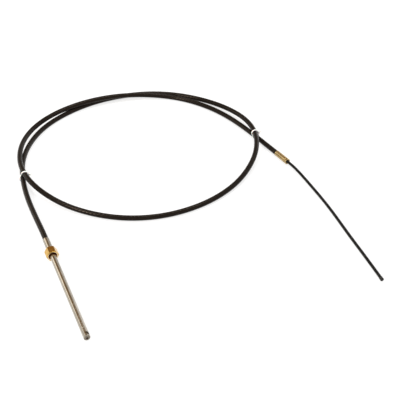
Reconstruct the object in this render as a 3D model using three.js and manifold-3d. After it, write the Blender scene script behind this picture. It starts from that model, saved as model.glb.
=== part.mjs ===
// A boat steering cable: a black conduit laid in about one and a half turns and tied twice, with a telescopic
// ram and a captive hex nut at the engine end, and a brass ferrule and a bare wound core at the helm end.
// Millimetres, +Z up. The origin is on the floor under the middle of the laid-out cable.
import * as THREE from "three";
import { mergeVertices } from "three/addons/utils/BufferGeometryUtils.js";
import Module from "manifold-3d";

const wasm = await Module();
wasm.setup();

// General clearances and facets
const up = new THREE.Vector3(0, 0, 1);
const gap = 0.3;
const tubeSides = 12;
const turnedSides = 48;
const bandSides = 48;
const cutMargin = 5;

// Conduit
const conduitDiameter = 15;
const conduitSteps = 72;
const conduitStraight = 25;
const conduitLead = 62;

// Core
const coreDiameter = 8.2;
const coreSides = 10;
const coreSteps = 12;
const coreStraight = 32;
const coreLead = 72;
const coreRingWall = 0.3;
const coreRingDiameter = coreDiameter + 2 * (gap + coreRingWall);
const coreRingLength = 9;
const coreRingCap = 1.5;
const coreRingChamfer = 0.8;

// End sleeve
const sleeveWall = 0.8;
const sleeveDiameter = conduitDiameter + 2 * (gap + sleeveWall);
const sleeveSocketDepth = 25;
const sleeveShown = 46;
const sleeveLipChamfer = 0.4;
const collarLength = 4;

// Coupling nut
const nutAcrossFlats = 28.6;
const nutLength = 24.5;
const nutBore = 22.2;
const nutMouthDepth = 0.9;
const nutRoundCollar = 0.9;
const collarDiameter = nutBore - 2 * nutRoundCollar;
const nutFaceInset = 0.4;
const nutBackWall = 5;
const nutChamferAngle = 30;
const nutPlay = 0.4;

// Guide tube
const guideDiameter = 11.4;
const guideWall = 1;
const guideBore = guideDiameter - 2 * guideWall;
const guideSeatDepth = 18;

// Ram
const ramDiameter = 15.9;
const ramBore = guideDiameter + 2 * gap;
const ramShown = 308.5;
const ramTravel = 228;
const ramOverlap = 30;
const ramPlugLength = 34;
const ramTipChamfer = 1.6;
const ramCentreDiameter = 5;
const ramCentreDepth = 3;
const eyeDiameter = 9.8;
const eyeFromTip = 10.5;
const eyeTurn = 35;

// Helm ferrule
const ferruleWall = 0.7;
const ferruleDiameter = conduitDiameter + 2 * (gap + ferruleWall);
const ferruleSocketDepth = 17;
const ferruleLength = 55;
const ferruleMouthDiameter = 11.4;
const ferruleMouthDepth = 6;
const ferruleCollarLength = 6;
const ferruleGrooveLength = 3;
const ferruleGrooveDepth = 1.7;
const ferruleEdge = 0.6;
const crimpDepth = 0.2;
const crimpLength = 32;
const crimpFromBack = 5;

// Cable ties
const tieWidth = 4.8;
const tieThickness = 1.2;
const tieSlack = 1.4;
const tieHeadWidth = 7;
const tieHeadHeight = 4.8;
const tieHeadLength = 6.2;
const tieTailLength = 10;
const tieTailThickness = 1;
const tieTailTurn = 20;
const tieLeftFromCrossing = 33;
const tieRightFromCrossing = 10;

// Where the ram's axis lies: the nut stands on one of its flats and the ram's tip rests on the floor
const nutFrontX = -328;
const nutFrontY = -289;
const ramHeading = -67.9;
const ramDrop = Math.asin((nutAcrossFlats - ramDiameter) / 2 / ramShown);
const ramAlong = heading(ramHeading, ramDrop);
const nutBackAt = sleeveShown - sleeveSocketDepth;
const nutFrontAt = nutBackAt + nutLength;
const nutFront = new THREE.Vector3(nutFrontX, nutFrontY, nutAcrossFlats / 2);
const conduitStart = nutFront.clone().addScaledVector(ramAlong, -nutFrontAt);

// Where the ferrule lies: on its side on the floor
const conduitEndX = 284.3;
const conduitEndY = 187;
const ferruleHeading = -58.3;
const ferruleAlong = heading(ferruleHeading, 0);
const conduitEnd = new THREE.Vector3(conduitEndX, conduitEndY, ferruleDiameter / 2);
const ferruleFrontAt = ferruleLength - ferruleSocketDepth;

// Heights of the conduit's middle: on the floor, on a tie, and over another stretch of itself
const low = conduitDiameter / 2;
const lowTied = low + gap + tieThickness;
const over = low + conduitDiameter + 2 * gap;
const overTied = lowTied + conduitDiameter + 2 * gap;

// The conduit's route from the ram to the ferrule, as the control points of one smooth curve
const conduitRoute = [
  along(conduitStart, ramAlong, 0),
  along(conduitStart, ramAlong, -conduitStraight),
  along(conduitStart, ramAlong, -conduitLead),
  [-391.8, -134, 13],
  [-422.6, -60, 11],
  [-450, 17, 9.6],
  [-470, 98, lowTied],
  [-480, 181, 8.4],
  [-470, 272, low],
  [-440, 357, low],
  [-388, 431, low],
  [-318, 497, low],
  [-235, 543, low],
  [-142, 568, low],
  [-47, 564, low],
  [43, 531, 8.2],
  [120, 473, 13.8],
  [177, 400, 21],
  [205, 337, overTied],
  [218, 281, overTied],
  [217, 215, 22.4],
  [203, 149, 15.8],
  [165, 64, 9],
  [111, -8, low],
  [43, -67, low],
  [-44, -110, low],
  [-139, -124, low],
  [-233, -108, low],
  [-323, -71, 11.4],
  [-392, -20, 19.5],
  [-437, 32, overTied],
  [-464, 83, overTied],
  [-483, 139, 24.4],
  [-493, 220, 20.9],
  [-481, 306, 18.6],
  [-443, 383, 19.4],
  [-382, 443, 23.2],
  [-312, 491, over],
  [-234, 526, 20.6],
  [-153, 548, 13.6],
  [-61, 548, low],
  [23, 514, low],
  [100, 456, low],
  [161, 383, 8.2],
  [214, 301, lowTied],
  along(conduitEnd, ferruleAlong, -conduitLead),
  along(conduitEnd, ferruleAlong, -conduitStraight),
  along(conduitEnd, ferruleAlong, 0),
];

// The core's route from the end of the conduit, through the ferrule, to its free end
const coreLow = coreDiameter / 2;
const coreRoute = [
  along(conduitEnd, ferruleAlong, gap),
  along(conduitEnd, ferruleAlong, coreStraight),
  along(conduitEnd, ferruleAlong, coreLead),
  [346, 73, 6.6],
  [371, 13, 5],
  [396, -51, 4.4],
  [418, -118, coreLow],
  [438, -184, coreLow],
  [460, -250, coreLow],
  [480, -312, coreLow],
  [497, -367, coreRingDiameter / 2],
];

// The stretches under and over at each tie, as shares of the conduit's length
const leftUnder = [0.06, 0.13];
const leftAbove = [0.62, 0.7];
const rightUnder = [0.94, 0.98];
const rightAbove = [0.36, 0.43];

function heading(turn, drop) {
  const yaw = THREE.MathUtils.degToRad(turn);
  return new THREE.Vector3(
    Math.cos(yaw) * Math.cos(drop),
    Math.sin(yaw) * Math.cos(drop),
    -Math.sin(drop),
  );
}

function along(from, direction, distance) {
  return from.clone().addScaledVector(direction, distance).toArray();
}

// A smooth curve (a uniform cubic B-spline) that starts on the first point, straight towards the second,
// and ends on the last
class Route extends THREE.Curve {
  constructor(points) {
    super();
    const p = points.map((point) => new THREE.Vector3(...point));
    const before = p[0].clone().multiplyScalar(2).sub(p[1]);
    const after = p.at(-1).clone().multiplyScalar(2).sub(p.at(-2));
    this.controls = [before, ...p, after];
    this.spans = points.length - 1;
    this.arcLengthDivisions = this.spans * 40;
  }

  getPoint(t, target = new THREE.Vector3()) {
    const at = Math.min(Math.max(t, 0), 1) * this.spans;
    const i = Math.min(Math.floor(at), this.spans - 1);
    const f = at - i;
    const weights = [
      (1 - f) ** 3,
      3 * f ** 3 - 6 * f ** 2 + 4,
      -3 * f ** 3 + 3 * f ** 2 + 3 * f + 1,
      f ** 3,
    ];
    target.set(0, 0, 0);
    weights.forEach((w, k) => target.addScaledVector(this.controls[i + k], w / 6));
    return target;
  }
}

// Shape helpers
function circleShape(radius, sides) {
  const corners = Array.from({ length: sides }, (_, k) => {
    const a = (k / sides) * 2 * Math.PI;
    return new THREE.Vector2(radius * Math.cos(a), radius * Math.sin(a));
  });
  return new THREE.Shape(corners);
}

function tubeAlong(curve, diameter, sides, steps) {
  return new THREE.ExtrudeGeometry(circleShape(diameter / 2, sides), {
    steps,
    extrudePath: curve,
    bevelEnabled: false,
  });
}

// A body turned about +Y, from [radius, height] pairs that run anticlockwise round the section
function turned(pairs) {
  const profile = pairs.map(([radius, height]) => new THREE.Vector2(radius, height));
  const first = profile[0];
  const last = profile.at(-1);
  if (first.x > 0 || last.x > 0) profile.push(first.clone());
  return new THREE.LatheGeometry(profile, turnedSides);
}

function cylinder(radius, from, to) {
  return turned([
    [0, from],
    [radius, from],
    [radius, to],
    [0, to],
  ]);
}

function solid(geometry) {
  const bare = geometry.clone();
  bare.deleteAttribute("normal");
  bare.deleteAttribute("uv");
  const merged = mergeVertices(bare, 1e-3);
  return new wasm.Manifold(
    new wasm.Mesh({
      numProp: 3,
      vertProperties: new Float32Array(merged.attributes.position.array),
      triVerts: new Uint32Array(merged.index.array),
    }),
  );
}

function geometryOf(body) {
  const made = body.getMesh();
  const geometry = new THREE.BufferGeometry();
  geometry.setAttribute("position", new THREE.BufferAttribute(made.vertProperties, 3));
  geometry.setIndex(new THREE.BufferAttribute(made.triVerts, 1));
  geometry.computeVertexNormals();
  return geometry;
}

function material(color, roughness, metalness) {
  return new THREE.MeshStandardMaterial({ color, roughness, metalness });
}

function piece(name, geometry, finish) {
  const mesh = new THREE.Mesh(geometry, finish);
  mesh.name = name;
  return mesh;
}

// A group whose +Y runs along a direction from a point, turned so that its +Z faces up as far as it can
function alongGroup(origin, direction) {
  const y = direction.clone().normalize();
  const x = new THREE.Vector3().crossVectors(y, up).normalize();
  const z = new THREE.Vector3().crossVectors(x, y);
  const group = new THREE.Group();
  group.position.copy(origin);
  group.quaternion.setFromRotationMatrix(new THREE.Matrix4().makeBasis(x, y, z));
  return group;
}

// Conduit and core
const conduitCurve = new Route(conduitRoute);
const conduit = piece(
  "conduit",
  tubeAlong(conduitCurve, conduitDiameter, tubeSides, conduitSteps),
  material(0x1d1a18, 0.42, 0),
);

const coreCurve = new Route(coreRoute);
const core = piece(
  "core",
  tubeAlong(coreCurve, coreDiameter, coreSides, coreSteps),
  material(0x3a3a3a, 0.4, 0.8),
);

function coreEndRing() {
  const radius = coreRingDiameter / 2;
  const bore = coreDiameter / 2 + gap;
  const front = gap + coreRingCap;
  const back = front - coreRingLength;
  const ring = turned([
    [0, gap],
    [bore, gap],
    [bore, back],
    [radius, back],
    [radius, front - coreRingChamfer],
    [radius - coreRingChamfer, front],
    [0, front],
  ]);
  const group = alongGroup(new THREE.Vector3(...coreRoute.at(-1)), coreCurve.getTangent(1));
  group.add(piece("core_end_ring", ring, material(0x2c2a29, 0.5, 0.8)));
  return group;
}

// Engine end, along the ram's axis from the end of the conduit
const socketRadius = conduitDiameter / 2 + gap;
const collarBack = nutBackAt + nutBackWall + gap;
const collarFront = collarBack + collarLength;
const guideSeat = collarFront - guideSeatDepth;
const ramBack = collarFront + gap;
const guideFront = ramBack + ramTravel + ramOverlap;
const ramTip = nutFrontAt + ramShown;

function endSleeve() {
  const radius = sleeveDiameter / 2;
  const seatRadius = guideDiameter / 2 + gap;
  return turned([
    [socketRadius, -sleeveSocketDepth],
    [radius - sleeveLipChamfer, -sleeveSocketDepth],
    [radius, sleeveLipChamfer - sleeveSocketDepth],
    [radius, collarBack],
    [collarDiameter / 2, collarBack],
    [collarDiameter / 2, collarFront],
    [seatRadius, collarFront],
    [seatRadius, guideSeat],
    [guideBore / 2, guideSeat],
    [guideBore / 2, gap],
    [socketRadius, gap],
  ]);
}

function couplingNut() {
  const corner = nutAcrossFlats / Math.sqrt(3);
  const hexagon = new THREE.ExtrudeGeometry(circleShape(corner, 6), {
    depth: nutLength,
    bevelEnabled: false,
  });
  hexagon.rotateX(-Math.PI / 2);
  hexagon.translate(0, nutBackAt, 0);
  const faceRadius = nutAcrossFlats / 2 - nutFaceInset;
  const wide = corner + cutMargin;
  const slope = (wide - faceRadius) * Math.tan(THREE.MathUtils.degToRad(nutChamferAngle));
  const chamfers = turned([
    [0, nutBackAt],
    [faceRadius, nutBackAt],
    [wide, nutBackAt + slope],
    [wide, nutFrontAt - slope],
    [faceRadius, nutFrontAt],
    [0, nutFrontAt],
  ]);
  const neckRadius = sleeveDiameter / 2 + nutPlay;
  const boreRadius = nutBore / 2;
  const mouthRadius = boreRadius + nutMouthDepth;
  const step = nutBackAt + nutBackWall;
  const bore = turned([
    [0, nutBackAt - cutMargin],
    [neckRadius, nutBackAt - cutMargin],
    [neckRadius, step],
    [boreRadius, step],
    [boreRadius, nutFrontAt - nutMouthDepth],
    [mouthRadius + cutMargin, nutFrontAt + cutMargin],
    [0, nutFrontAt + cutMargin],
  ]);
  return geometryOf(solid(hexagon).intersect(solid(chamfers)).subtract(solid(bore)));
}

function guideTube() {
  return turned([
    [guideBore / 2, guideSeat + gap],
    [guideDiameter / 2, guideSeat + gap],
    [guideDiameter / 2, guideFront],
    [guideBore / 2, guideFront],
  ]);
}

function ramTube() {
  const radius = ramDiameter / 2;
  const bar = turned([
    [0, ramBack],
    [radius, ramBack],
    [radius, ramTip - ramTipChamfer],
    [radius - ramTipChamfer, ramTip],
    [ramCentreDiameter / 2, ramTip],
    [0, ramTip - ramCentreDepth],
  ]);
  const bore = cylinder(ramBore / 2, ramBack - cutMargin, ramTip - ramPlugLength);
  const eye = cylinder(eyeDiameter / 2, -radius - cutMargin, radius + cutMargin);
  eye.rotateX(Math.PI / 2);
  eye.rotateY(-THREE.MathUtils.degToRad(eyeTurn));
  eye.translate(0, ramTip - eyeFromTip, 0);
  return geometryOf(solid(bar).subtract(solid(bore)).subtract(solid(eye)));
}

function engineEnd() {
  const group = alongGroup(conduitStart, ramAlong);
  group.add(
    piece("end_sleeve", endSleeve(), material(0xb8b0a4, 0.25, 1)),
    piece("coupling_nut", couplingNut(), material(0xb5893c, 0.25, 1)),
    piece("guide_tube", guideTube(), material(0x9c9a96, 0.3, 1)),
    piece("ram", ramTube(), material(0xc4b8a4, 0.15, 1)),
  );
  return group;
}

// Helm end, along the ferrule's axis from the end of the conduit
function helmFerrule() {
  const radius = ferruleDiameter / 2;
  const boreRadius = coreDiameter / 2 + gap;
  const mouthRadius = ferruleMouthDiameter / 2;
  const grooveRadius = radius - ferruleGrooveDepth;
  const grooveFront = ferruleFrontAt - ferruleCollarLength;
  const grooveBack = grooveFront - ferruleGrooveLength;
  const body = turned([
    [socketRadius, -ferruleSocketDepth],
    [radius - ferruleEdge, -ferruleSocketDepth],
    [radius, ferruleEdge - ferruleSocketDepth],
    [radius, grooveBack],
    [grooveRadius, grooveBack],
    [grooveRadius, grooveFront],
    [radius, grooveFront],
    [radius, ferruleFrontAt - ferruleEdge],
    [radius - ferruleEdge, ferruleFrontAt],
    [mouthRadius, ferruleFrontAt],
    [mouthRadius, ferruleFrontAt - ferruleMouthDepth],
    [boreRadius, ferruleFrontAt - ferruleMouthDepth],
    [boreRadius, gap],
    [socketRadius, gap],
  ]);
  let crimped = solid(body);
  const crimpMiddle = crimpFromBack + crimpLength / 2 - ferruleSocketDepth;
  for (let k = 0; k < 6; k += 1) {
    const flat = new THREE.BoxGeometry(ferruleDiameter, crimpLength, cutMargin);
    flat.translate(0, crimpMiddle, radius - crimpDepth + cutMargin / 2);
    flat.rotateY((k * Math.PI) / 3);
    crimped = crimped.subtract(solid(flat));
  }
  const group = alongGroup(conduitEnd, ferruleAlong);
  group.add(piece("helm_ferrule", geometryOf(crimped), material(0xb08a45, 0.3, 1)));
  return group;
}

// The plane that a tie lies in, square to two stretches of the conduit, each given by shares of its length.
// It stands a distance from where they cross in plan, towards -Y, and holds the middles of both
function tiePlane(under, above, fromCrossing) {
  const samples = 360;
  const [lower, upper] = [under, above].map(([from, to]) =>
    Array.from({ length: samples + 1 }, (_, k) => {
      const share = from + ((to - from) * k) / samples;
      const place = conduitCurve.getPointAt(share);
      return { share, flat: place.clone().setZ(0), high: place.z };
    }),
  );
  let closest = { distance: Infinity };
  for (const a of lower) {
    for (const b of upper) {
      const distance = a.flat.distanceTo(b.flat);
      if (distance < closest.distance) closest = { distance, a, b };
    }
  }
  const { a, b } = closest;
  const runOf = ({ share }) => conduitCurve.getTangentAt(share).setZ(0).normalize();
  const direction = runOf(a).add(runOf(b)).normalize();
  if (direction.y > 0) direction.negate();
  const side = new THREE.Vector3().crossVectors(up, direction);
  const origin = a.flat.clone().add(b.flat).multiplyScalar(0.5);
  origin.addScaledVector(direction, fromCrossing);
  const off = ({ flat }) => Math.abs(flat.clone().sub(origin).dot(direction));
  const inPlane = [lower, upper].map((strand) =>
    strand.reduce((nearest, sample) => (off(sample) < off(nearest) ? sample : nearest)),
  );
  const [underMiddle, aboveMiddle] = inPlane.map(
    ({ flat, high }) => new THREE.Vector2(flat.clone().sub(origin).dot(side), high),
  );
  const slants = inPlane.map((sample) => Math.acos(Math.abs(runOf(sample).dot(direction))));
  return { origin, direction, side, underMiddle, aboveMiddle, slant: Math.max(...slants) };
}

// The outline of a band pulled round two like ovals, one round each strand's middle
function bandOutline({ underMiddle, aboveMiddle }, across, high) {
  const towards = aboveMiddle.clone().sub(underMiddle);
  return Array.from({ length: bandSides }, (_, k) => {
    const a = (2 * Math.PI * k) / bandSides;
    const outwards = new THREE.Vector2(high * Math.cos(a), across * Math.sin(a));
    const middle = outwards.dot(towards) > 0 ? aboveMiddle : underMiddle;
    return new THREE.Vector2(across * Math.cos(a), high * Math.sin(a)).add(middle);
  });
}

// One moulded tie round two stretches, with its head on the side that faces +X
function cableTie(name, plane) {
  const { slant, aboveMiddle } = plane;
  const strandRadius = conduitDiameter / 2;
  const across = strandRadius / Math.cos(slant) + (tieWidth / 2) * Math.tan(slant) + gap + tieSlack;
  const high = strandRadius + gap;
  const outline = new THREE.Shape(bandOutline(plane, across + tieThickness, high + tieThickness));
  outline.holes.push(new THREE.Path(bandOutline(plane, across, high)));
  const band = new THREE.ExtrudeGeometry(outline, { depth: tieWidth, bevelEnabled: false });
  band.translate(0, 0, -tieWidth / 2);
  const headOut = aboveMiddle.x + across + (tieThickness + tieHeadHeight) / 2;
  const headHigh = aboveMiddle.y - tieHeadLength / 2;
  const head = new THREE.BoxGeometry(tieHeadHeight, tieHeadLength, tieHeadWidth);
  head.translate(headOut, headHigh, 0);
  const tail = new THREE.BoxGeometry(tieTailLength, tieTailThickness, tieWidth);
  tail.translate(tieTailLength / 2, 0, 0);
  tail.rotateZ(THREE.MathUtils.degToRad(tieTailTurn));
  tail.translate(headOut, headHigh, 0);
  const body = solid(band).add(solid(head)).add(solid(tail));
  const group = new THREE.Group();
  group.position.copy(plane.origin);
  const basis = new THREE.Matrix4().makeBasis(plane.side, up, plane.direction);
  group.quaternion.setFromRotationMatrix(basis);
  group.add(piece(name, geometryOf(body), material(0xf0efe9, 0.45, 0)));
  return group;
}

const cable = new THREE.Group();
cable.add(
  conduit,
  core,
  coreEndRing(),
  engineEnd(),
  helmFerrule(),
  cableTie("tie_left", tiePlane(leftUnder, leftAbove, tieLeftFromCrossing)),
  cableTie("tie_right", tiePlane(rightUnder, rightAbove, tieRightFromCrossing)),
);

export default cable;
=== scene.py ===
"""A boat steering cable, dressed: a black conduit in about one and a half turns with two nylon ties,
a steel ram and a captive brass nut at the engine end, and a crimped brass ferrule and a bare wound core
at the helm end."""

import math

import bmesh
import bpy
import numpy as np
from mathutils import Matrix, Vector


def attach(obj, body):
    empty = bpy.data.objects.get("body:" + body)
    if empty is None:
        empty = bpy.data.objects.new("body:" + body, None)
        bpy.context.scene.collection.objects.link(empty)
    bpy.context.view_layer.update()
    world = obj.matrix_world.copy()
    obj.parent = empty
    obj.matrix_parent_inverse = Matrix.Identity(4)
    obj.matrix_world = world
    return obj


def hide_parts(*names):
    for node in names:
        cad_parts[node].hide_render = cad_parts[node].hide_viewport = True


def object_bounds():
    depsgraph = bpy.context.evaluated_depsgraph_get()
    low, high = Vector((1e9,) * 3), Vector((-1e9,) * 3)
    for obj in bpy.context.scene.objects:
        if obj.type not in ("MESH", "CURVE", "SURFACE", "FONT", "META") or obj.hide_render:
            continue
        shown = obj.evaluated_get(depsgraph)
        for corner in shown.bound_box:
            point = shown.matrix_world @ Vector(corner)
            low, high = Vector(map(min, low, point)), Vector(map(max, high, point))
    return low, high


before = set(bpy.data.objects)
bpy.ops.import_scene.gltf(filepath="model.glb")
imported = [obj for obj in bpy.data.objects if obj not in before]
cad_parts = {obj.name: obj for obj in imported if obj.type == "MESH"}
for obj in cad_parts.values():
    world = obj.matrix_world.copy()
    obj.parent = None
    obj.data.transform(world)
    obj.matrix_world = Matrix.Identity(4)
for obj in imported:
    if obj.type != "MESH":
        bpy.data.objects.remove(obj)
cad_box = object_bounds()

# General sizes, in metres
MM = 0.001
CLEARANCE = 0.3 * MM
GRIP = 0.05 * MM
UP = np.array([0.0, 0.0, 1.0])

# How far corners are eased
HAIR_EDGE = 0.15 * MM
FINE_EDGE = 0.2 * MM
SMALL_EDGE = 0.3 * MM
EDGE = 0.4 * MM
FULL_EDGE = 0.5 * MM
WIDE_EDGE = 0.6 * MM

# Conduit and core
CONDUIT = 15 * MM
CONDUIT_RIDGES = 16
CONDUIT_RIDGE_DEPTH = 0.1 * MM
CONDUIT_LAY = 170 * MM
CONDUIT_RING_STEP = 5.5 * MM
SIDES_PER_RIDGE = 6
CORE = 8.2 * MM
CORE_BUNDLE = 6.6 * MM
CORE_BUNDLE_WIRES = 12
CORE_BUNDLE_LAY = 42 * MM
CORE_BUNDLE_RING_STEP = 3 * MM
CORE_BUNDLE_ROUNDNESS = 0.85
CORE_WIRE_WIDTH = 2.7 * MM
CORE_WIRE_HIGH = 1.2 * MM
CORE_WIRE_PITCH = 3.7 * MM
CORE_WIRE_FROM_END = 0.5 * MM
CORE_RING = CORE + 2 * (CLEARANCE + 0.3 * MM)
CORE_RING_LENGTH = 9 * MM
CORE_RING_CAP = 1.5 * MM
CORE_RING_CROWN = 0.9 * MM
CORE_RING_BAND = 2.2 * MM
CORE_RING_SLOPE = 0.7 * MM
CORE_RING_WAIST = 2.3 * MM
CORE_RING_WAIST_DEPTH = 0.35 * MM
CORE_RING_DIMPLE = 0.5 * MM
CORE_RING_DIMPLE_DEPTH = 0.4 * MM

# Engine end, as distances along the ram's axis from the end of the conduit
SLEEVE = 17.2 * MM
SLEEVE_SOCKET = 25 * MM
SLEEVE_SHOWN = 46 * MM
COLLAR = 20.4 * MM
COLLAR_LENGTH = 4 * MM
NUT_FLATS = 28.6 * MM
NUT_LENGTH = 24.5 * MM
NUT_BORE = 22.2 * MM
NUT_MOUTH = 24 * MM
NUT_FACE_INSET = 0.4 * MM
NUT_BACK_WALL = 5 * MM
NUT_PLAY = 0.4 * MM
NUT_CHAMFER_RUN = 2.2 * MM
NUT_CORNER_BLEND = 0.45 * MM
NUT_THREAD_PITCH = 1.81 * MM
NUT_THREAD_DEPTH = 0.85 * MM
NUT_THREAD_ROOT = 0.1 * MM
NUT_THREAD_ROOT_SHARE = 0.45
NUT_THREAD_TIP_SHARE = 0.08
NUT_THREAD_FROM_COLLAR = 1.5 * MM
NUT_THREAD_FROM_MOUTH = 0.5 * MM
GUIDE = 11.4 * MM
GUIDE_BORE = 9.4 * MM
GUIDE_SEAT_DEPTH = 18 * MM
RAM = 15.9 * MM
RAM_BORE = 12 * MM
RAM_SHOWN = 308.5 * MM
RAM_TRAVEL = 228 * MM
RAM_OVERLAP = 30 * MM
RAM_PLUG = 34 * MM
RAM_TIP_CHAMFER = 1.6 * MM
RAM_CENTRE = 5 * MM
RAM_CENTRE_DEPTH = 3 * MM
RAM_GROOVE_FROM_TIP = 30 * MM
RAM_GROOVE = 1 * MM
RAM_GROOVE_FLOOR = 0.6 * MM
RAM_GROOVE_DEPTH = 0.2 * MM
RAM_GROOVE_EDGE = 0.1 * MM
EYE = 9.8 * MM
EYE_FROM_TIP = 10.5 * MM
EYE_TURN = 35
EYE_SINK = 1.9 * MM
DRILL_PAST = 2 * MM

NUT_BACK_AT = SLEEVE_SHOWN - SLEEVE_SOCKET
NUT_FRONT_AT = NUT_BACK_AT + NUT_LENGTH
COLLAR_BACK_AT = NUT_BACK_AT + NUT_BACK_WALL + CLEARANCE
COLLAR_FRONT_AT = COLLAR_BACK_AT + COLLAR_LENGTH
GUIDE_SEAT_AT = COLLAR_FRONT_AT - GUIDE_SEAT_DEPTH
RAM_BACK_AT = COLLAR_FRONT_AT + CLEARANCE
GUIDE_FRONT_AT = RAM_BACK_AT + RAM_TRAVEL + RAM_OVERLAP
RAM_TIP_AT = NUT_FRONT_AT + RAM_SHOWN

# Helm end, as distances along the ferrule's axis from the end of the conduit
FERRULE = 17 * MM
FERRULE_SOCKET = 17 * MM
FERRULE_LENGTH = 55 * MM
FERRULE_MOUTH = 11.4 * MM
FERRULE_MOUTH_DEPTH = 6 * MM
FERRULE_COLLAR = 6 * MM
FERRULE_GROOVE = 3 * MM
FERRULE_GROOVE_DIAMETER = 13.6 * MM
FERRULE_RIM_EDGE = 0.7 * MM
CRIMP_FLATS = 16.6 * MM
CRIMP_BLEND = 0.1 * MM
CRIMP_SKIN = 1 * MM
CRIMP_EASE = 2 * MM
CRIMP_SLOPE = 0.5
CRIMP_BACK_AT = -12 * MM
CRIMP_FRONT_AT = 20 * MM
FERRULE_FRONT_AT = FERRULE_LENGTH - FERRULE_SOCKET

# Cable ties
TIE_WIDTH = 4.8 * MM
TIE_THICKNESS = 1.2 * MM
TIE_SLACK = 1 * MM
TIE_HEAD = (4.8 * MM, 6.2 * MM, 7 * MM)
TIE_HEAD_OVERLAP = 0.4 * MM
TIE_SLOT_PLAY = (0.7 * MM, 0.5 * MM)
TIE_TAIL_LENGTH = 10 * MM
TIE_TAIL_THICKNESS = 1.0 * MM
TIE_TAIL_TURN = 20
TIE_TAIL_TEETH = 14
TIE_TOOTH = 0.25 * MM
TIE_TIP_LENGTH = 1.6 * MM
TIE_TIP_SHARE = 0.25
TIE_LEFT_FROM_CROSSING = 33 * MM
TIE_RIGHT_FROM_CROSSING = 10 * MM


def heading(turn, drop):
    turn = math.radians(turn)
    return np.array([math.cos(turn) * math.cos(drop), math.sin(turn) * math.cos(drop), -math.sin(drop)])


# Where the two ends lie
RAM_DROP = math.asin((NUT_FLATS - RAM) / 2 / RAM_SHOWN)
RAM_ALONG = heading(-67.9, RAM_DROP)
CONDUIT_START = np.array([-0.328, -0.289, NUT_FLATS / 2]) - RAM_ALONG * NUT_FRONT_AT
FERRULE_ALONG = heading(-58.3, 0)
CONDUIT_END = np.array([0.2843, 0.187, FERRULE / 2])

# Heights of the conduit's middle: on the floor, on a tie, and over another stretch of itself
LOW = CONDUIT / 2
LOW_TIED = LOW + CLEARANCE + TIE_THICKNESS
OVER = LOW + CONDUIT + 2 * CLEARANCE
OVER_TIED = LOW_TIED + CONDUIT + 2 * CLEARANCE

CONDUIT_ROUTE = [
    CONDUIT_START,
    CONDUIT_START - RAM_ALONG * 0.025,
    CONDUIT_START - RAM_ALONG * 0.062,
    (-0.3918, -0.134, 0.013),
    (-0.4226, -0.060, 0.011),
    (-0.450, 0.017, 0.0096),
    (-0.470, 0.098, LOW_TIED),
    (-0.480, 0.181, 0.0084),
    (-0.470, 0.272, LOW),
    (-0.440, 0.357, LOW),
    (-0.388, 0.431, LOW),
    (-0.318, 0.497, LOW),
    (-0.235, 0.543, LOW),
    (-0.142, 0.568, LOW),
    (-0.047, 0.564, LOW),
    (0.043, 0.531, 0.0082),
    (0.120, 0.473, 0.0138),
    (0.177, 0.400, 0.021),
    (0.205, 0.337, OVER_TIED),
    (0.218, 0.281, OVER_TIED),
    (0.217, 0.215, 0.0224),
    (0.203, 0.149, 0.0158),
    (0.165, 0.064, 0.009),
    (0.111, -0.008, LOW),
    (0.043, -0.067, LOW),
    (-0.044, -0.110, LOW),
    (-0.139, -0.124, LOW),
    (-0.233, -0.108, LOW),
    (-0.323, -0.071, 0.0114),
    (-0.392, -0.020, 0.0195),
    (-0.437, 0.032, OVER_TIED),
    (-0.464, 0.083, OVER_TIED),
    (-0.483, 0.139, 0.0244),
    (-0.493, 0.220, 0.0209),
    (-0.481, 0.306, 0.0186),
    (-0.443, 0.383, 0.0194),
    (-0.382, 0.443, 0.0232),
    (-0.312, 0.491, OVER),
    (-0.234, 0.526, 0.0206),
    (-0.153, 0.548, 0.0136),
    (-0.061, 0.548, LOW),
    (0.023, 0.514, LOW),
    (0.100, 0.456, LOW),
    (0.161, 0.383, 0.0082),
    (0.214, 0.301, LOW_TIED),
    CONDUIT_END - FERRULE_ALONG * 0.062,
    CONDUIT_END - FERRULE_ALONG * 0.025,
    CONDUIT_END,
]

CORE_ROUTE = [
    CONDUIT_END + FERRULE_ALONG * CLEARANCE,
    CONDUIT_END + FERRULE_ALONG * 0.032,
    CONDUIT_END + FERRULE_ALONG * 0.072,
    (0.346, 0.073, 0.0066),
    (0.371, 0.013, 0.005),
    (0.396, -0.051, 0.0044),
    (0.418, -0.118, CORE / 2),
    (0.438, -0.184, CORE / 2),
    (0.460, -0.250, CORE / 2),
    (0.480, -0.312, CORE / 2),
    (0.497, -0.367, CORE_RING / 2),
]


# Lines that pieces are built along

def unit(vectors):
    return vectors / np.linalg.norm(vectors, axis=-1, keepdims=True)


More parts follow.
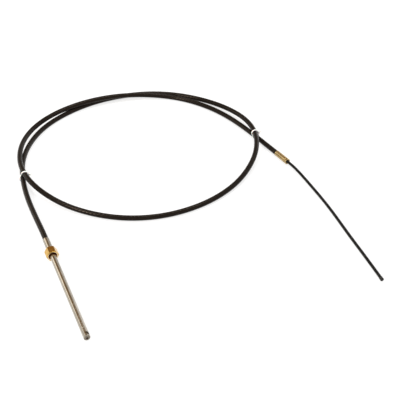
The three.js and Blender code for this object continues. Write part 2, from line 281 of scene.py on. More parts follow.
class Route:
    """A smooth curve (a uniform cubic B-spline) that starts on the first point and ends on the last."""

    def __init__(self, points, samples_per_span=40):
        p = np.array([tuple(point) for point in points])
        self.controls = np.vstack([2 * p[0] - p[1], p, 2 * p[-1] - p[-2]])
        self.spans = len(p) - 1
        self.stations = np.linspace(0, self.spans, self.spans * samples_per_span + 1)
        steps = np.diff(self._blend(self.stations, self._places), axis=0)
        self.distances = np.append(0, np.cumsum(np.linalg.norm(steps, axis=1)))
        self.length = self.distances[-1]

    @staticmethod
    def _places(f):
        return [(1 - f) ** 3, 3 * f**3 - 6 * f**2 + 4, -3 * f**3 + 3 * f**2 + 3 * f + 1, f**3]

    @staticmethod
    def _slopes(f):
        return [-((1 - f) ** 2), 3 * f**2 - 4 * f, -3 * f**2 + 2 * f + 1, f**2]

    def _blend(self, stations, weights):
        span = np.clip(stations.astype(int), 0, self.spans - 1)
        shares = weights(stations - span)
        return sum(share[:, None] * self.controls[span + k] for k, share in enumerate(shares)) / 6

    def frames(self, distances):
        """Places at these distances along the curve, with the directions ahead, to the right and over it."""
        stations = np.interp(distances, self.distances, self.stations)
        ahead = unit(self._blend(stations, self._slopes))
        side = unit(np.cross(ahead, UP))
        return self._blend(stations, self._places), ahead, side, np.cross(side, ahead)


class Axis:
    """The straight line of a turned piece's own +Y, in place of a route."""

    def frames(self, distances):
        places = np.zeros((len(distances), 3))
        places[:, 1] = distances
        ahead, side, over = (np.tile(row, (len(distances), 1)) for row in ([0, 1, 0], [1, 0, 0], [0, 0, 1]))
        return places, ahead, side, over


def matrix_of(x, y, z, origin):
    return Matrix(np.vstack([np.column_stack([x, y, z, origin]), (0, 0, 0, 1)]).tolist())


def axis_matrix(origin, direction):
    """The place of a piece whose own +Y runs along a direction, with its +Z facing up as far as it can."""
    y = unit(np.array(direction))
    x = unit(np.cross(y, UP))
    return matrix_of(x, y, np.cross(x, y), origin)


# Meshes

def skin(rows, ends):
    """A mesh over rows of points. ends is capped, pole (a row that shrinks to a point) or joined (last row to
    first)."""
    count, sides, _ = rows.shape
    joined = ends == "joined"
    i, j = np.meshgrid(np.arange(count if joined else count - 1), np.arange(sides), indexing="ij")
    ahead = (i + 1) % count
    beside = (j + 1) % sides
    faces = np.stack([i * sides + j, ahead * sides + j, ahead * sides + beside, i * sides + beside], axis=-1)
    faces = faces.reshape(-1, 4).tolist()
    if ends == "capped":
        faces.append(list(range(sides)))
        faces.append(list(reversed(range((count - 1) * sides, count * sides))))
    mesh = bpy.data.meshes.new("skin")
    mesh.from_pydata(rows.reshape(-1, 3).tolist(), [], faces)
    if ends == "pole":
        tidy = bmesh.new()
        tidy.from_mesh(mesh)
        bmesh.ops.remove_doubles(tidy, verts=tidy.verts, dist=1e-7)
        tidy.to_mesh(mesh)
        tidy.free()
    return mesh


def made(name, meshes, finish, matrix=None, sharp=35):
    """One object from one or more meshes, with smooth faces and crisp edges above an angle in degrees."""
    whole = bmesh.new()
    for mesh in meshes:
        whole.from_mesh(mesh)
        bpy.data.meshes.remove(mesh)
    mesh = bpy.data.meshes.new(name)
    whole.to_mesh(mesh)
    whole.free()
    mesh.shade_smooth()
    mesh.set_sharp_from_angle(angle=math.radians(sharp))
    mesh.materials.append(finish)
    piece = bpy.data.objects.new(name, mesh)
    bpy.context.scene.collection.objects.link(piece)
    if matrix:
        piece.matrix_world = matrix
    weighting = piece.modifiers.new("even faces", "WEIGHTED_NORMAL")
    weighting.keep_sharp = True
    return piece


def cut(mesh, tool):
    """The mesh with the tool's shape taken out of it."""
    body = bpy.data.objects.new("body", mesh)
    cutter = bpy.data.objects.new("cutter", tool)
    for thing in (body, cutter):
        bpy.context.scene.collection.objects.link(thing)
    boolean = body.modifiers.new("cut", "BOOLEAN")
    boolean.operation = "DIFFERENCE"
    boolean.object = cutter
    boolean.solver = "EXACT"
    bpy.context.view_layer.update()
    result = bpy.data.meshes.new_from_object(body.evaluated_get(bpy.context.evaluated_depsgraph_get()))
    for thing in (body, cutter):
        spent = thing.data
        bpy.data.objects.remove(thing)
        bpy.data.meshes.remove(spent)
    return result


def softened(profile, steps=4):
    """A profile whose corners (radius, height, edge) are eased over the edge's length on both sides."""
    points = [np.array(corner[:2], float) for corner in profile]
    eased = []
    for k, corner in enumerate(profile):
        edge = corner[2] if len(corner) > 2 else 0
        if not edge:
            eased.append(points[k])
            continue
        before = points[k] + unit(points[k - 1] - points[k]) * edge
        after = points[k] + unit(points[(k + 1) % len(points)] - points[k]) * edge
        for t in np.linspace(0, 1, steps + 1):
            eased.append((1 - t) ** 2 * before + 2 * t * (1 - t) * points[k] + t**2 * after)
    return np.array(eased)


def turned(profile, ends="joined", sides=144, limit=None):
    """A body turned about +Y from (radius, height) points. limit(radii, angles, heights) gives the radii that
    are left, as flats do."""
    angles = np.linspace(0, 2 * math.pi, sides, endpoint=False)
    radii = np.repeat(profile[:, :1], sides, axis=1)
    heights = np.repeat(profile[:, 1:2], sides, axis=1)
    if limit:
        radii = limit(radii, angles[None, :], heights)
    return skin(np.stack([radii * np.cos(angles), heights, radii * np.sin(angles)], axis=-1), ends)


def softer_of(a, b, blend):
    """The smaller of two radii, with the corner between them eased."""
    return np.minimum(a, b) - np.maximum(blend - np.abs(a - b), 0) ** 2 / (4 * blend)


def hexagon(angles, flats):
    """The radius of a hexagon with a corner at angle zero."""
    return flats / 2 / np.cos(np.mod(angles, math.pi / 3) - math.pi / 6)


def tube(frames, radii, angles):
    """A capped skin round a line, with a radius and an angle for each of its sides."""
    places, _, side, over = frames
    outwards = np.cos(angles)[..., None] * side[:, None] + np.sin(angles)[..., None] * over[:, None]
    return skin(places[:, None] + radii[None, :, None] * outwards, "capped")


def wound(line, radius, pitch, start, end, section, steps_per_turn, hand=1):
    """A wire laid round a line, with a section of (outwards, along) points."""
    count = int(abs(end - start) / pitch * steps_per_turn) + 1
    distances = np.linspace(start, end, count)
    places, ahead, side, over = line.frames(distances)
    turn = (hand * 2 * math.pi * distances / pitch)[:, None]
    outwards = np.cos(turn) * side + np.sin(turn) * over
    around = hand * (np.cos(turn) * over - np.sin(turn) * side)
    forwards = unit(around * 2 * math.pi * radius / pitch + ahead)
    across = np.cross(outwards, forwards)
    middle = places + radius * outwards
    rows = middle[:, None] + section[None, :, :1] * outwards[:, None] + section[None, :, 1:] * across[:, None]
    return skin(rows, "capped")


def oval(high, wide, sides, roundness):
    """A rounded section of (outwards, along) points. A roundness of 1 is an ellipse, and less is squarer."""
    a = np.linspace(0, 2 * math.pi, sides, endpoint=False)
    outwards = np.sign(np.cos(a)) * np.abs(np.cos(a)) ** roundness * high / 2
    along = np.sign(np.sin(a)) * np.abs(np.sin(a)) ** roundness * wide / 2
    return np.stack([outwards, along], axis=-1)


# Procedural finishes

class Value:
    """A shader socket in an expression: arithmetic on it adds Math nodes."""

    def __init__(self, nodes, socket):
        self.nodes = nodes
        self.socket = socket

    def _math(self, operation, first, second):
        return self.nodes.node("ShaderNodeMath", {"operation": operation}, {0: first, 1: second})

    def __add__(self, other):
        return self._math("ADD", self, other)

    def __sub__(self, other):
        return self._math("SUBTRACT", self, other)

    def __rsub__(self, other):
        return self._math("SUBTRACT", other, self)

    def __mul__(self, other):
        return self._math("MULTIPLY", self, other)

    __radd__ = __add__
    __rmul__ = __mul__


class Nodes:
    """A tree of shader nodes."""

    def __init__(self, owner):
        owner.use_nodes = True
        self.tree = owner.node_tree

    def node(self, kind, settings=None, sockets=None, output=0):
        """Any node: its settings are set first, then the values or links of its sockets."""
        node = self.tree.nodes.new(kind)
        for name, value in (settings or {}).items():
            if name == "stops":
                self._set_stops(node.color_ramp, value)
            else:
                setattr(node, name, value)
        for name, value in (sockets or {}).items():
            self.feed(node.inputs[name], value)
        return Value(self, node.outputs[output])

    @staticmethod
    def _set_stops(ramp, stops):
        while len(ramp.elements) < len(stops):
            ramp.elements.new(1)
        for element, (place, shade) in zip(ramp.elements, stops):
            element.position = place
            element.color = (shade, shade, shade, 1)

    def feed(self, socket, value):
        if isinstance(value, Value):
            self.tree.links.new(value.socket, socket)
        else:
            socket.default_value = value

    def mix(self, share, first, second):
        sockets = {0: share}
        for socket, colour in ((6, first), (7, second)):
            sockets[socket] = (*colour, 1) if isinstance(colour, tuple) else colour
        return self.node("ShaderNodeMix", {"data_type": "RGBA"}, sockets, output=2)


class Finish(Nodes):
    """One procedural material, with the sockets of its Principled shader set by name."""

    def __init__(self, name, **same_all_over):
        self.material = bpy.data.materials.new(name)
        super().__init__(self.material)
        self.shader = self.tree.nodes["Principled BSDF"]
        for socket, value in same_all_over.items():
            self.shader.inputs[socket.replace("_", " ")].default_value = value

    def place(self, scale=(1, 1, 1)):
        """The place on the piece in metres, stretched by a scale for each of its own directions."""
        return self._mapped(self.node("ShaderNodeTexCoord", output="Object"), scale)

    def lay(self, scale=(1, 1, 1)):
        """The place on a tube's skin: the share of a turn round it, and metres along it."""
        return self._mapped(self.node("ShaderNodeUVMap", {"uv_map": "lay"}), scale)

    def _mapped(self, place, scale):
        return self.node("ShaderNodeMapping", sockets={"Vector": place, "Scale": scale})

    def noise(self, place, scale, detail=3, roughness=0.5):
        sockets = {"Vector": place, "Scale": scale, "Detail": detail, "Roughness": roughness}
        return self.node("ShaderNodeTexNoise", sockets=sockets, output="Fac")

    def ramp(self, value, *stops):
        return self.node("ShaderNodeValToRGB", {"stops": stops}, {"Fac": value}, output="Color")

    def step(self, value, at, soft=0.15 * MM):
        """Nothing below a value and all above it, with a soft edge."""
        sockets = {"Value": value, "From Min": at - soft, "From Max": at + soft}
        return self.node("ShaderNodeMapRange", {"interpolation_type": "SMOOTHSTEP"}, sockets)

    def bump(self, height, strength, distance):
        sockets = {"Height": height, "Strength": strength, "Distance": distance}
        return self.node("ShaderNodeBump", sockets=sockets)

    def surface(self, colour, roughness, normal=None):
        self.feed(self.shader.inputs["Base Color"], colour)
        self.feed(self.shader.inputs["Roughness"], roughness)
        if normal:
            self.feed(self.shader.inputs["Normal"], normal)
        return self.material


def conduit_plastic():
    f = Finish("conduit_plastic", Specular_IOR_Level=0.12, Specular_Tint=(1, 0.80, 0.66, 1))
    mottle = f.noise(f.place(), 28, detail=4)
    grain = f.noise(f.place(), 1500, detail=2)
    drag = f.ramp(f.noise(f.lay((55, 5, 1)), 1, detail=3), (0.5, 0), (0.72, 1))
    dust = f.ramp(f.noise(f.place(), 60, detail=6, roughness=0.7), (0.52, 0), (0.8, 1))
    colour = f.mix(mottle, (0.0046, 0.0033, 0.0024), (0.0080, 0.0058, 0.0044))
    colour = f.mix(drag * 0.3, colour, (0.024, 0.019, 0.016))
    colour = f.mix(dust * 0.12, colour, (0.07, 0.058, 0.048))
    roughness = mottle * 0.10 + drag * 0.08 + dust * 0.12 + 0.15
    return f.surface(colour, roughness, f.bump(grain + drag * 0.6, 0.22, 0.06 * MM))


def metal(name, dark, light, rough, scale, grain, stain=None, places=()):
    """A machined metal: soft clouds of tone, tool marks stretched by the grain, and a stain in spots.
    places are (share, colour) pairs: functions that give where another tone lies, and some of these tones are
    painted highlight and painted shade."""
    f = Finish(name, Metallic=1.0)
    cloud = f.ramp(f.noise(f.place(), scale, detail=5, roughness=0.6), (0.3, 0), (0.7, 1))
    marks = f.noise(f.place(grain), 1, detail=4, roughness=0.6)
    colour = f.mix(cloud, dark, light)
    if stain:
        spots = f.ramp(f.noise(f.place(), scale * 3, detail=6, roughness=0.7), (0.56, 0), (0.78, 1))
        colour = f.mix(spots * 0.4, colour, stain)
    roughness = cloud * 0.05 + marks * 0.08 + rough
    for share_of, tone in places:
        share = share_of(f)
        colour = f.mix(share, colour, tone)
        roughness = roughness + share * 0.12
    return f.surface(colour, roughness, f.bump(marks, 0.12, 0.012 * MM))


def within(inner, outer, back, front):
    """The share of a ring round a turned piece's axis: between two radii and between two heights, with soft
    edges."""

    def share_of(f):
        across = f.place((1, 0, 1))
        away = f.node("ShaderNodeVectorMath", {"operation": "LENGTH"}, {0: across}, output="Value")
        height = f.node("ShaderNodeSeparateXYZ", sockets={0: f.place()}, output="Y")
        share = f.step(away, inner) * (1 - f.step(away, outer))
        return share * f.step(height, back) * (1 - f.step(height, front))

    return share_of


def nylon():
    f = Finish("tie_nylon", Subsurface_Weight=0.15, Subsurface_Scale=0.002)
    cloud = f.noise(f.place(), 220, detail=4)
    grain = f.noise(f.place(), 2600, detail=2)
    colour = f.mix(cloud, (0.74, 0.73, 0.69), (0.86, 0.855, 0.83))
    return f.surface(colour, cloud * 0.18 + 0.36, f.bump(grain, 0.2, 0.03 * MM))


def floor_paper():
    f = Finish("floor_paper", Emission_Color=(1, 1, 1, 1), Emission_Strength=0.70)
    cloud = f.noise(f.place(), 1.3, detail=3)
    fibre = f.noise(f.place(), 900, detail=2)
    return f.surface(f.mix(cloud, (0.28, 0.28, 0.28), (0.31, 0.31, 0.31)), fibre * 0.1 + 0.8)


# Camera

CAMERA_PLACE = (0.046, -2.045, 1.467)
CAMERA_DOWN = 36
CAMERA_LENS = 80.5
CAMERA_SENSOR = 36

camera_data = bpy.data.cameras.new("camera")
camera_data.sensor_width = CAMERA_SENSOR
camera_data.lens = CAMERA_LENS
camera = bpy.data.objects.new("camera", camera_data)
camera.location = CAMERA_PLACE
camera.rotation_euler = (math.radians(90 - CAMERA_DOWN), 0, 0)
bpy.context.scene.collection.objects.link(camera)
bpy.context.scene.camera = camera


# Conduit

def lay_map(mesh, rings, sides, length):
    """Adds the map that a skin's finish runs along: a share of a turn, and metres along."""
    layer = mesh.uv_layers.new(name="lay")
    i, j = np.meshgrid(np.arange(rings - 1), np.arange(sides), indexing="ij")
    around = np.stack([j, j, j + 1, j + 1], axis=-1) / sides
    along = np.stack([i, i + 1, i + 1, i], axis=-1) / (rings - 1) * length
    places = np.zeros((len(mesh.loops), 2))
    places[: around.size] = np.stack([around.ravel(), along.ravel()], axis=-1)
    layer.data.foreach_set("uv", places.ravel())


def conduit_skin(route, finish):
    """The conduit: a skin with shallow ridges that turn slowly round it."""
    sides = CONDUIT_RIDGES * SIDES_PER_RIDGE
    rings = int(route.length / CONDUIT_RING_STEP) + 1
    distances = np.linspace(0, route.length, rings)
    frames = route.frames(distances)
    steps = np.arange(sides) / sides
    angles = 2 * math.pi * (steps[None, :] + distances[:, None] / CONDUIT_LAY)
    radii = CONDUIT / 2 - CONDUIT_RIDGE_DEPTH * (1 - np.cos(2 * math.pi * steps * CONDUIT_RIDGES)) / 2
    mesh = tube(frames, radii, angles)
    lay_map(mesh, rings, sides, route.length)
    return made("conduit_skin", [mesh], finish), frames[0]


def core_rope(route, finish):
    """The core: a bundle of wires with one flat wire wound over it."""
    sides = CORE_BUNDLE_WIRES * SIDES_PER_RIDGE
    rings = int(route.length / CORE_BUNDLE_RING_STEP) + 1
    distances = np.linspace(0, route.length, rings)
    frames = route.frames(distances)
    steps = np.arange(sides) / sides
    wire = math.pi * CORE_BUNDLE / CORE_BUNDLE_WIRES / 2
    off_middle = np.mod(steps * CORE_BUNDLE_WIRES, 1) * 2 - 1
    valley = 1 - np.sqrt(1 - off_middle**2 * CORE_BUNDLE_ROUNDNESS)
    angles = 2 * math.pi * (steps[None, :] - distances[:, None] / CORE_BUNDLE_LAY)
    bundle = tube(frames, CORE_BUNDLE / 2 - wire * valley, angles)
    radius = (CORE - CORE_WIRE_HIGH) / 2
    end = route.length - CORE_WIRE_FROM_END
    section = oval(CORE_WIRE_HIGH, CORE_WIRE_WIDTH, 12, 0.7)
    wrap = wound(route, radius, CORE_WIRE_PITCH, CORE_WIRE_FROM_END, end, section, 24)
    return made("core_rope", [bundle, wrap], finish, sharp=60), frames[0]


# Turned pieces

def end_ring(route, finish):
    """The ring swaged on the core's end: two bands with a waist between them, and a crowned face."""
    radius = CORE_RING / 2
    bore = CORE / 2 + GRIP
    front = CLEARANCE + CORE_RING_CAP
    back = front - CORE_RING_LENGTH
    waist = radius - CORE_RING_WAIST_DEPTH
    waist_back = back + CORE_RING_BAND + CORE_RING_SLOPE
    waist_front = waist_back + CORE_RING_WAIST
    profile = softened([
        (0, CLEARANCE),
        (bore, CLEARANCE),
        (bore, back),
        (radius, back, FULL_EDGE),
        (radius, back + CORE_RING_BAND, SMALL_EDGE),
        (waist, waist_back, SMALL_EDGE),
        (waist, waist_front, SMALL_EDGE),
        (radius, waist_front + CORE_RING_SLOPE, SMALL_EDGE),
        (radius, front, CORE_RING_CROWN),
        (CORE_RING_DIMPLE, front, SMALL_EDGE),
        (0, front - CORE_RING_DIMPLE_DEPTH),
    ])
    places, ahead, _, _ = route.frames(np.array([route.length]))
    return made("core_end_cap", [turned(profile, "pole", 96)], finish, axis_matrix(places[0], ahead[0]))


def sleeve(finish):
    """The sleeve on the conduit's end, with the collar that the nut pulls on and the guide tube's seat."""
    radius = SLEEVE / 2
    socket = CONDUIT / 2 + GRIP
    seat = GUIDE / 2 + CLEARANCE
    profile = softened([
        (socket, -SLEEVE_SOCKET, FINE_EDGE),
        (radius, -SLEEVE_SOCKET, WIDE_EDGE),
        (radius, COLLAR_BACK_AT, EDGE),
        (COLLAR / 2, COLLAR_BACK_AT, EDGE),
        (COLLAR / 2, COLLAR_FRONT_AT, EDGE),
        (seat, COLLAR_FRONT_AT, FINE_EDGE),
        (seat, GUIDE_SEAT_AT),
        (GUIDE_BORE / 2, GUIDE_SEAT_AT),
        (GUIDE_BORE / 2, CLEARANCE),
        (socket, CLEARANCE),
    ])
    return made("end_sleeve_swaged", [turned(profile)], finish, ENGINE)


def nut(finish):
    """The hex nut, with chamfered corners, a countersunk mouth and a thread in its bore."""
    corner = NUT_FLATS / math.sqrt(3)
    face = NUT_FLATS / 2 - NUT_FACE_INSET
    neck = SLEEVE / 2 + NUT_PLAY
    step = NUT_BACK_AT + NUT_BACK_WALL
    mouth_depth = (NUT_MOUTH - NUT_BORE) / 2
    rise = np.linspace(0, NUT_CHAMFER_RUN, 23)
    outside = [(corner, NUT_BACK_AT + d) for d in rise] + [(corner, NUT_FRONT_AT - d) for d in rise[::-1]]
    profile = softened([
        (neck, NUT_BACK_AT, EDGE),
        (face, NUT_BACK_AT),
        *outside,
        (face, NUT_FRONT_AT),
        (NUT_MOUTH / 2, NUT_FRONT_AT, HAIR_EDGE),
        (NUT_BORE / 2, NUT_FRONT_AT - mouth_depth, HAIR_EDGE),
        (NUT_BORE / 2, step),
        (neck, step),
    ])

    def flats(radii, angles, heights):
        from_end = np.minimum(heights - NUT_BACK_AT, NUT_FRONT_AT - heights)
        cone = face + from_end * math.sqrt(3)
        shape = softer_of(hexagon(angles, NUT_FLATS), cone, NUT_CORNER_BLEND)
        return np.minimum(radii, shape)

    root = NUT_THREAD_ROOT_SHARE * NUT_THREAD_PITCH
    tip = NUT_THREAD_TIP_SHARE * NUT_THREAD_PITCH
    tooth = np.array([
        (NUT_THREAD_ROOT, -root),
        (-NUT_THREAD_DEPTH, -tip),
        (-NUT_THREAD_DEPTH, tip),
        (NUT_THREAD_ROOT, root),
    ])
    back = COLLAR_FRONT_AT + NUT_THREAD_FROM_COLLAR
    front = NUT_FRONT_AT - mouth_depth - NUT_THREAD_FROM_MOUTH
    thread = wound(Axis(), NUT_BORE / 2, NUT_THREAD_PITCH, back, front, tooth, 64, -1)
    hexagonal = turned(profile, sides=288, limit=flats)
    return made("coupling_nut_hex", [hexagonal, thread], finish, ENGINE, sharp=50)


def guide(finish):
    """The thin tube fixed in the sleeve, which the ram slides on."""
    profile = softened([
        (GUIDE_BORE / 2, GUIDE_SEAT_AT + CLEARANCE, FINE_EDGE),
        (GUIDE / 2, GUIDE_SEAT_AT + CLEARANCE, FINE_EDGE),
        (GUIDE / 2, GUIDE_FRONT_AT, SMALL_EDGE),
        (GUIDE_BORE / 2, GUIDE_FRONT_AT, SMALL_EDGE),
    ])
    return made("guide_tube_drawn", [turned(profile, sides=96)], finish, ENGINE)


def ram(finish):
    """The ram: a tube with a plugged end, a centre recess in its tip and a countersunk eye across it."""
    radius = RAM / 2
    groove_at = RAM_TIP_AT - RAM_GROOVE_FROM_TIP
    groove = radius - RAM_GROOVE_DEPTH
    profile = softened([
        (0, RAM_TIP_AT - RAM_PLUG),
        (RAM_BORE / 2, RAM_TIP_AT - RAM_PLUG),
        (RAM_BORE / 2, RAM_BACK_AT, EDGE),
        (radius, RAM_BACK_AT, EDGE),
        (radius, groove_at - RAM_GROOVE / 2, HAIR_EDGE),
        (groove, groove_at - RAM_GROOVE_FLOOR / 2, RAM_GROOVE_EDGE),
        (groove, groove_at + RAM_GROOVE_FLOOR / 2, RAM_GROOVE_EDGE),
        (radius, groove_at + RAM_GROOVE / 2, HAIR_EDGE),
        (radius, RAM_TIP_AT - RAM_TIP_CHAMFER, FULL_EDGE),
        (radius - RAM_TIP_CHAMFER, RAM_TIP_AT, FULL_EDGE),
        (RAM_CENTRE / 2, RAM_TIP_AT, FINE_EDGE),
        (0, RAM_TIP_AT - RAM_CENTRE_DEPTH),
    ])
    far = radius + DRILL_PAST
    sink = math.sqrt(radius**2 - (EYE / 2) ** 2)
    drill = np.array([
        (0, -far),
        (EYE / 2 + EYE_SINK, -far),
        (EYE / 2, -sink),
        (EYE / 2, sink),
        (EYE / 2 + EYE_SINK, far),
        (0, far),
    ])
    cutter = turned(drill, "pole", 96)
    turn = Matrix.Rotation(-math.radians(EYE_TURN), 4, "Y") @ Matrix.Rotation(math.pi / 2, 4, "X")
    cutter.transform(Matrix.Translation((0, RAM_TIP_AT - EYE_FROM_TIP, 0)) @ turn)
    return made("ram_bar", [cut(turned(profile, "pole"), cutter)], finish, ENGINE)


def ferrule(finish):
    """The ferrule, crimped to six shallow flats over the conduit, with a groove behind its collar."""
    radius = FERRULE / 2
    socket = CONDUIT / 2 + GRIP
    bore = CORE / 2 + CLEARANCE
    groove = FERRULE_GROOVE_DIAMETER / 2
    groove_front = FERRULE_FRONT_AT - FERRULE_COLLAR
    groove_back = groove_front - FERRULE_GROOVE
    crimp = [(radius, y) for y in np.linspace(CRIMP_BACK_AT - CRIMP_EASE, CRIMP_FRONT_AT + CRIMP_EASE, 40)]
    profile = softened([
        (socket, -FERRULE_SOCKET, FINE_EDGE),
        (radius, -FERRULE_SOCKET, WIDE_EDGE),
        *crimp,
        (radius, groove_back, EDGE),
        (groove, groove_back, EDGE),
        (groove, groove_front, EDGE),
        (radius, groove_front, EDGE),
        (radius, FERRULE_FRONT_AT, FERRULE_RIM_EDGE),
        (FERRULE_MOUTH / 2, FERRULE_FRONT_AT, FULL_EDGE),
        (FERRULE_MOUTH / 2, FERRULE_FRONT_AT - FERRULE_MOUTH_DEPTH, EDGE),
        (bore, FERRULE_FRONT_AT - FERRULE_MOUTH_DEPTH, SMALL_EDGE),
        (bore, CLEARANCE),
        (socket, CLEARANCE),
    ])

    def flats(radii, angles, heights):
        outside = np.maximum(CRIMP_BACK_AT - heights, heights - CRIMP_FRONT_AT)
        die = hexagon(angles, CRIMP_FLATS) + np.maximum(outside, 0) * CRIMP_SLOPE
        on_the_outside = radii > radius - CRIMP_SKIN
        return np.where(on_the_outside, softer_of(radii, die, CRIMP_BLEND), radii)

    return made("helm_ferrule_crimped", [turned(profile, sides=192, limit=flats)], finish, HELM)


# Cable ties

def tie_plane(route, under, above, from_crossing):
    """The plane square to two stretches of a route, a distance towards -Y from where they cross in plan."""
    stretches = [route.frames(np.linspace(*shares, 721) * route.length)[:2] for shares in (under, above)]
    (lower, lower_ahead), (upper, upper_ahead) = stretches
    apart = np.linalg.norm(lower[:, None, :2] - upper[None, :, :2], axis=-1)
    a, b = np.unravel_index(np.argmin(apart), apart.shape)
    runs = [unit(ahead * (1, 1, 0)) for ahead in (lower_ahead[a], upper_ahead[b])]
    direction = unit(sum(runs))
    if direction[1] > 0:
        direction = -direction
    side = np.cross(UP, direction)
    origin = (lower[a] + upper[b]) / 2 * (1, 1, 0) + direction * from_crossing
    middles = []
    slants = []
    for places, ahead in stretches:
        nearest = np.argmin(np.abs((places - origin) @ direction))
        middles.append(np.array([(places[nearest] - origin) @ side, places[nearest][2]]))
        slants.append(math.acos(abs(unit(ahead[nearest] * (1, 1, 0)) @ direction)))
    return matrix_of(side, UP, direction, origin), *middles, max(slants)


def tie(name, plane, finish):
    """A tie round two stretches: a closed band, a head with a slot, and the tail that goes through it."""
    matrix, under, above, slant = plane
    strand = CONDUIT / 2
    half = TIE_THICKNESS / 2
    across = strand / math.cos(slant) + TIE_WIDTH / 2 * math.tan(slant) + CLEARANCE + TIE_SLACK + half
    high = strand + CLEARANCE / 2 + half
    turn = np.linspace(0, 2 * math.pi, 96, endpoint=False)
    upwards = np.stack([high * np.cos(turn), across * np.sin(turn)], axis=-1) @ (above - under) > 0
    middle = np.where(upwards[:, None], above, under)
    path = np.stack([across * np.cos(turn), high * np.sin(turn)], axis=-1) + middle
    forwards = unit(np.roll(path, -1, axis=0) - np.roll(path, 1, axis=0))
    outwards = np.stack([forwards[:, 1], -forwards[:, 0]], axis=-1)
    section = oval(TIE_THICKNESS, TIE_WIDTH, 16, 0.35)
    band = path[:, None] + outwards[:, None] * section[None, :, :1]
    depth = np.broadcast_to(section[None, :, 1], band.shape[:2])
    head_at = above + (across + half + TIE_HEAD[0] / 2 - TIE_HEAD_OVERLAP, -TIE_HEAD[1] / 2)
    meshes = [
        skin(np.concatenate([band, depth[..., None]], axis=-1), "joined"),
        tie_head(head_at),
        tie_tail(head_at),
    ]
    return made(name, meshes, finish, matrix, sharp=40)


def tie_head(at):
    """The head: a small block with eased edges, and the slot cut through it."""
    block = bmesh.new()
    place = Matrix.Translation((*at, 0))
    bmesh.ops.create_cube(block, size=1, matrix=place @ Matrix.Diagonal((*TIE_HEAD, 1)))
    eased = {"offset": WIDE_EDGE, "segments": 4, "profile": 0.5, "affect": "EDGES", "clamp_overlap": True}
    bmesh.ops.bevel(block, geom=block.edges[:], **eased)
    head = bpy.data.meshes.new("head")
    block.to_mesh(head)
    block.free()
    slot = bmesh.new()
    opening = (2 * TIE_HEAD[0], TIE_TAIL_THICKNESS + TIE_SLOT_PLAY[0], TIE_WIDTH + TIE_SLOT_PLAY[1], 1)
    tilt = Matrix.Rotation(math.radians(TIE_TAIL_TURN), 4, "Z")
    bmesh.ops.create_cube(slot, size=1, matrix=place @ tilt @ Matrix.Diagonal(opening))
    tool = bpy.data.meshes.new("slot")
    slot.to_mesh(tool)
    slot.free()
    return cut(head, tool)


def tie_tail(at):
    """The tail: a thin strip with teeth across one face and a rounded, tapered tip."""
    along = np.linspace(-TIE_HEAD[0] / 2, TIE_TAIL_LENGTH, TIE_TAIL_TEETH * 4 + 1)
    tooth = np.abs(np.mod(np.arange(len(along)) / 4, 1) - 0.5) * 2 * TIE_TOOTH
    left = np.clip((TIE_TAIL_LENGTH - along) / TIE_TIP_LENGTH, 0, 1)
    shrink = np.sqrt(1 - (1 - left) ** 2) * (1 - TIE_TIP_SHARE) + TIE_TIP_SHARE
    section = oval(TIE_TAIL_THICKNESS, TIE_WIDTH, 16, 0.3)
    under = section[:, 0] < 0
    rows = np.zeros((len(along), len(section), 3))
    rows[..., 0] = along[:, None]
    rows[..., 1] = under[None, :] * tooth[:, None] - section[None, :, 0]
    rows[..., 2] = section[None, :, 1] * shrink[:, None]
    tail = skin(rows, "capped")
    tail.transform(Matrix.Translation((*at, 0)) @ Matrix.Rotation(math.radians(TIE_TAIL_TURN), 4, "Z"))
    return tail


# The finishes

# Tones laid on by place, with how deep they go behind a face, how far past it, and how wide the nut's rim is:
# a darker tone on the ram's tip face, painted shade in its centre recess and on the nut's thread, and a
# painted highlight round the nut's mouth
RECESS_SHADE_DEPTH = 5 * MM
FACE_TONE_DEPTH = 1 * MM
RIM_HIGHLIGHT_REACH = 0.9 * MM
THREAD_TONE_FRONT = 0.8 * MM
PAST_FACE = 1 * MM

recess_edge = RAM_CENTRE / 2 + EDGE
# A near-black tone in the centre recess of the ram's tip: painted shade.
recess_painted_shade = within(0, recess_edge, RAM_TIP_AT - RECESS_SHADE_DEPTH, RAM_TIP_AT + PAST_FACE)
face = within(recess_edge, RAM, RAM_TIP_AT - FACE_TONE_DEPTH, RAM_TIP_AT + PAST_FACE)
# A pale ring round the nut's mouth: a painted highlight.
rim_painted_highlight = within(NUT_BORE / 2, NUT_MOUTH / 2 + RIM_HIGHLIGHT_REACH, NUT_FRONT_AT - RIM_HIGHLIGHT_REACH, NUT_FRONT_AT + PAST_FACE)
# A dark red-brown tone on the nut's thread and bore: painted shade.
thread_shade = within(
    SLEEVE / 2, NUT_BORE / 2 + CLEARANCE, NUT_BACK_AT + PAST_FACE, NUT_FRONT_AT - THREAD_TONE_FRONT
)

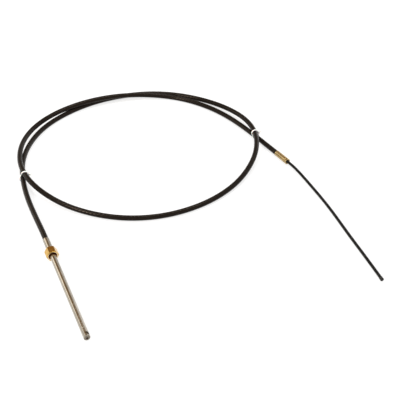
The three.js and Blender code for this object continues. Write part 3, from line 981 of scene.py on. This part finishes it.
core_wire = metal("core_wire", (0.010, 0.0095, 0.009), (0.030, 0.028, 0.026), 0.36, 160, (1500, 1500, 1500))
dark_steel = metal("dark_steel", (0.02, 0.018, 0.017), (0.05, 0.047, 0.045), 0.38, 300, (600, 2500, 600))
bright_steel = metal("bright_steel", (0.33, 0.295, 0.24), (0.43, 0.39, 0.33), 0.14, 55, (500, 4200, 500))
ram_steel = metal(
    "ram_steel", (0.35, 0.315, 0.26), (0.45, 0.41, 0.35), 0.10, 40, (400, 3600, 400),
    # The near-black tone in the centre recess is painted shade; the tip face gets a darker, rougher tone.
    places=[(recess_painted_shade, (0.03, 0.016, 0.008)), (face, (0.20, 0.175, 0.14))],
)
dull_steel = metal("dull_steel", (0.42, 0.41, 0.40), (0.55, 0.54, 0.53), 0.28, 70, (700, 2600, 700))
nut_brass = metal(
    "nut_brass", (0.50, 0.295, 0.065), (0.68, 0.42, 0.11), 0.10, 90, (900, 3200, 900),
    stain=(0.22, 0.12, 0.04),
    # The pale ring round the mouth is a painted highlight, and the dark red-brown tone on the thread is
    # painted shade.
    places=[(rim_painted_highlight, (0.95, 0.82, 0.58)), (thread_shade, (0.30, 0.10, 0.035))],
)
ferrule_brass = metal(
    "ferrule_brass", (0.36, 0.25, 0.11), (0.56, 0.42, 0.21), 0.17, 120, (900, 3200, 900),
    stain=(0.2, 0.12, 0.05),
)
white_nylon = nylon()


# The pieces in their places

ENGINE = axis_matrix(CONDUIT_START, RAM_ALONG)
HELM = axis_matrix(CONDUIT_END, FERRULE_ALONG)

# Shares of the conduit's route that hold each tie's lower and upper stretch
LEFT_STRETCHES = ((0.06, 0.13), (0.62, 0.70))
RIGHT_STRETCHES = ((0.94, 0.98), (0.36, 0.43))

conduit_route = Route(CONDUIT_ROUTE)
core_route = Route(CORE_ROUTE)

conduit, conduit_path = conduit_skin(conduit_route, conduit_plastic())
core, core_path = core_rope(core_route, core_wire)
cap = end_ring(core_route, dark_steel)
sleeve_piece = sleeve(bright_steel)
nut_piece = nut(nut_brass)
guide_piece = guide(dull_steel)
ram_piece = ram(ram_steel)
ferrule_piece = ferrule(ferrule_brass)
left_plane = tie_plane(conduit_route, *LEFT_STRETCHES, TIE_LEFT_FROM_CROSSING)
left_tie = tie("tie_left_nylon", left_plane, white_nylon)
right_plane = tie_plane(conduit_route, *RIGHT_STRETCHES, TIE_RIGHT_FROM_CROSSING)
right_tie = tie("tie_right_nylon", right_plane, white_nylon)

for piece, node, body, slot in (
    (conduit, "conduit", "cable_body", "conduit_plastic"),
    (core, "core", "cable_body", "core_wire"),
    (cap, "core_end_ring", "cable_body", "dark_steel"),
    (sleeve_piece, "end_sleeve", "cable_body", "bright_steel"),
    (guide_piece, "guide_tube", "cable_body", "dull_steel"),
    (ferrule_piece, "helm_ferrule", "cable_body", "ferrule_brass"),
    (left_tie, "tie_left", "cable_body", "tie_nylon"),
    (right_tie, "tie_right", "cable_body", "tie_nylon"),
    (ram_piece, "ram", "ram_body", "bright_steel"),
    (nut_piece, "coupling_nut", "nut_body", "nut_brass"),
):
    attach(piece, body)
    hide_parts(node)


# Floor and light

DOME = (0.80, 0.79, 0.77)
PATCH = (0.33, 0.20, 0.085)
PATCH_TURN = 114
PATCH_ELEVATION = 43
PATCH_EDGES = (8, 30)
FLOOR_REACH = 6


def floor(finish):
    half = FLOOR_REACH
    sheet = bpy.data.meshes.new("floor")
    corners = [(-half, -half, 0), (half, -half, 0), (half, half, 0), (-half, half, 0)]
    sheet.from_pydata(corners, [], [(0, 1, 2, 3)])
    sheet.materials.append(finish)
    piece = bpy.data.objects.new("floor", sheet)
    piece.location.z = cad_box[0][2]
    bpy.context.scene.collection.objects.link(piece)


def softbox(name, place, target, size, power, colour=(1, 1, 1)):
    lamp = bpy.data.lights.new(name, "AREA")
    lamp.shape = "RECTANGLE"
    lamp.size, lamp.size_y = size
    lamp.energy = power
    lamp.color = colour
    holder = bpy.data.objects.new(name, lamp)
    holder.visible_camera = False
    holder.location = place
    holder.rotation_euler = (Vector(target) - Vector(place)).to_track_quat("-Z", "Y").to_euler()
    bpy.context.scene.collection.objects.link(holder)


def studio():
    """Soft light from all round, with one darker warm patch high up beyond the object, which shows in the
    metal."""
    world = bpy.data.worlds.new("studio")
    dome = Nodes(world)
    towards = tuple(heading(PATCH_TURN, -math.radians(PATCH_ELEVATION)))
    aim = {0: dome.node("ShaderNodeTexCoord", output="Generated"), 1: towards}
    edge = {
        "Value": dome.node("ShaderNodeVectorMath", {"operation": "DOT_PRODUCT"}, aim, output="Value"),
        "From Min": math.cos(math.radians(PATCH_EDGES[1])),
        "From Max": math.cos(math.radians(PATCH_EDGES[0])),
    }
    share = dome.node("ShaderNodeMapRange", {"interpolation_type": "SMOOTHSTEP"}, edge, output="Result")
    dome.feed(dome.tree.nodes["Background"].inputs["Color"], dome.mix(share, DOME, PATCH))
    bpy.context.scene.world = world


floor(floor_paper())
softbox("overhead", (0.1, 0.75, 2.7), (0, 0, 0), (2.8, 0.45), 42)
softbox("left", (-2.4, 1.3, 1.2), (-0.3, -0.3, 0), (1.3, 1.1), 7, (1, 0.93, 0.80))
softbox("front_left", (-1.85, -1.35, 1.65), (-0.2, -0.1, 0), (0.7, 0.6), 44, (1, 0.95, 0.90))
softbox("right", (1.9, 2.8, 0.9), (0, 0, 0), (1.9, 0.9), 8, (1, 0.96, 0.97))
studio()
bpy.context.scene.view_settings.view_transform = "Standard"
